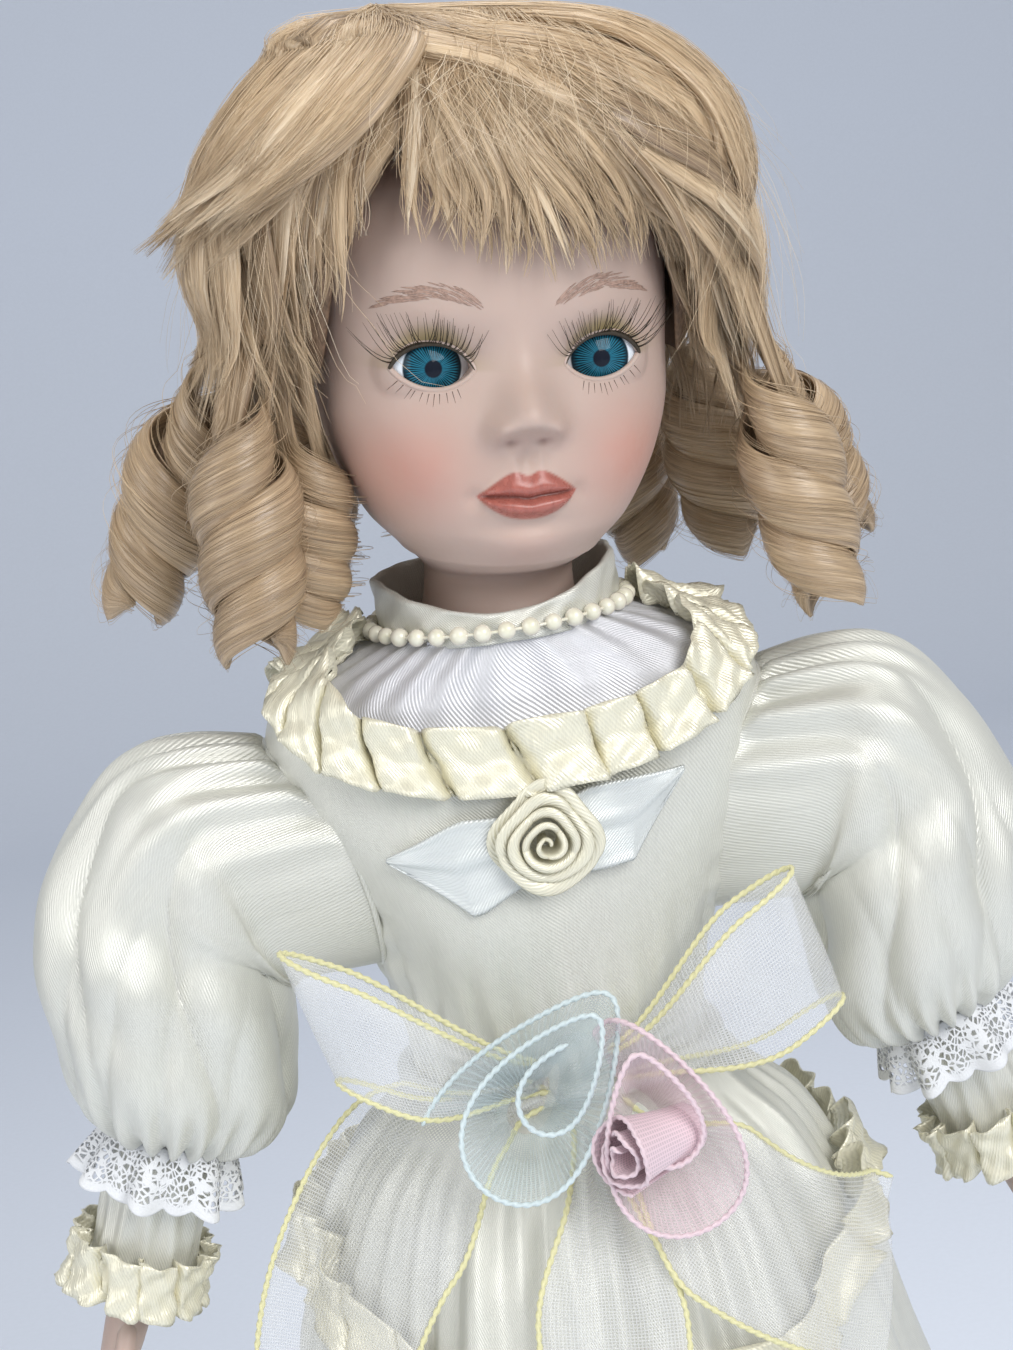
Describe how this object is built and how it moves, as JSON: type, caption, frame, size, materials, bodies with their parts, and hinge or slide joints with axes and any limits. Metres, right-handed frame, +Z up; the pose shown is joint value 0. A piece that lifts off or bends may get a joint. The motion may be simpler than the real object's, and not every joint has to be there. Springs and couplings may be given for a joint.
{
  "type": "porcelain doll",
  "caption": "Standing dressed doll with a turning bisque head, ringlet wig, satin puff sleeves, organza waist bow and full skirt, on swinging limbs",
  "frame": {"origin": "middle of the box around the doll, at the level of the soles of its shoes", "axes": "+Z up along the standing body, the doll faces -Y, its own left side is at +X"},
  "size_m": [0.19, 0.19, 0.4483],
  "materials": {
    "bisque": "matte unglazed bisque porcelain, tinted and painted by hand",
    "muslin": "plain cotton muslin, stuffed",
    "ivory_satin": "ivory satin with a soft sheen",
    "white_satin": "white satin with a soft sheen",
    "cream_ribbon": "cream satin ribbon",
    "leaf_ribbon": "pale blue-white satin ribbon",
    "organza": "sheer white organza with corded pale yellow edges",
    "aqua_organza": "sheer aqua organza",
    "pink_organza": "sheer pink organza",
    "lace": "white lace",
    "pearl": "pearl beads on a thread",
    "hair": "golden blonde wig fibre",
    "eye": "polished teal eye",
    "lash": "dark brown lash fibre",
    "card": "pressed card, stands in as wood",
    "shoe": "white moulded shoe"
  },
  "bodies": {
    "torso": {"shoulder_plate": "bisque", "cloth_body": "muslin", "bodice": "ivory_satin", "yoke_panel": "white_satin", "stand_collar": "ivory_satin", "pearl_string": "pearl", "yoke_ruffle": "cream_ribbon", "satin_rose": "cream_ribbon", "left_rose_leaf": "leaf_ribbon", "right_rose_leaf": "leaf_ribbon", "skirt": "ivory_satin", "hip_ruffle": "cream_ribbon", "bow_knot": "organza", "left_bow_loop": "organza", "right_bow_loop": "organza", "left_bow_tail": "organza", "middle_bow_tail": "organza", "right_bow_tail": "organza", "aqua_rose": "aqua_organza", "pink_rose": "pink_organza"},
    "head": {"head": "bisque", "pate": "card", "left_eye": "eye", "right_eye": "eye", "left_lash": "lash", "right_lash": "lash", "hair_crown": "hair", "fringe": "hair", "ringlet_01": "hair", "ringlet_02": "hair", "ringlet_03": "hair", "ringlet_04": "hair", "ringlet_05": "hair", "ringlet_06": "hair", "ringlet_07": "hair", "ringlet_08": "hair", "ringlet_09": "hair", "ringlet_10": "hair"},
    "left_arm": {"left_upper_arm": "muslin", "left_forearm": "bisque", "left_sleeve": "ivory_satin", "left_sleeve_lace": "lace", "left_cuff": "ivory_satin", "left_cuff_ruffle": "cream_ribbon"},
    "right_arm": {"right_upper_arm": "muslin", "right_forearm": "bisque", "right_sleeve": "ivory_satin", "right_sleeve_lace": "lace", "right_cuff": "ivory_satin", "right_cuff_ruffle": "cream_ribbon"},
    "left_leg": {"left_upper_leg": "muslin", "left_lower_leg": "bisque", "left_shoe": "shoe"},
    "right_leg": {"right_upper_leg": "muslin", "right_lower_leg": "bisque", "right_shoe": "shoe"}
  },
  "joints": [
    {"name": "head_turn", "type": "hinge", "parent": "torso", "child": "head", "pos_m": [0, 0, 0.345], "axis": [0, 0, 1], "range_deg": [-40, 40]},
    {"name": "left_arm_swing", "type": "hinge", "parent": "torso", "child": "left_arm", "pos_m": [0.049, 0, 0.318], "axis": [-1, 0, 0], "range_deg": [-35, 80], "deforming": ["left_sleeve"]},
    {"name": "right_arm_swing", "type": "hinge", "parent": "torso", "child": "right_arm", "pos_m": [-0.049, 0, 0.318], "axis": [-1, 0, 0], "range_deg": [-35, 80], "deforming": ["right_sleeve"]},
    {"name": "left_leg_swing", "type": "hinge", "parent": "torso", "child": "left_leg", "pos_m": [0.0185, 0, 0.2], "axis": [-1, 0, 0], "range_deg": [-10, 12]},
    {"name": "right_leg_swing", "type": "hinge", "parent": "torso", "child": "right_leg", "pos_m": [-0.0185, 0, 0.2], "axis": [-1, 0, 0], "range_deg": [-10, 12]}
  ]
}
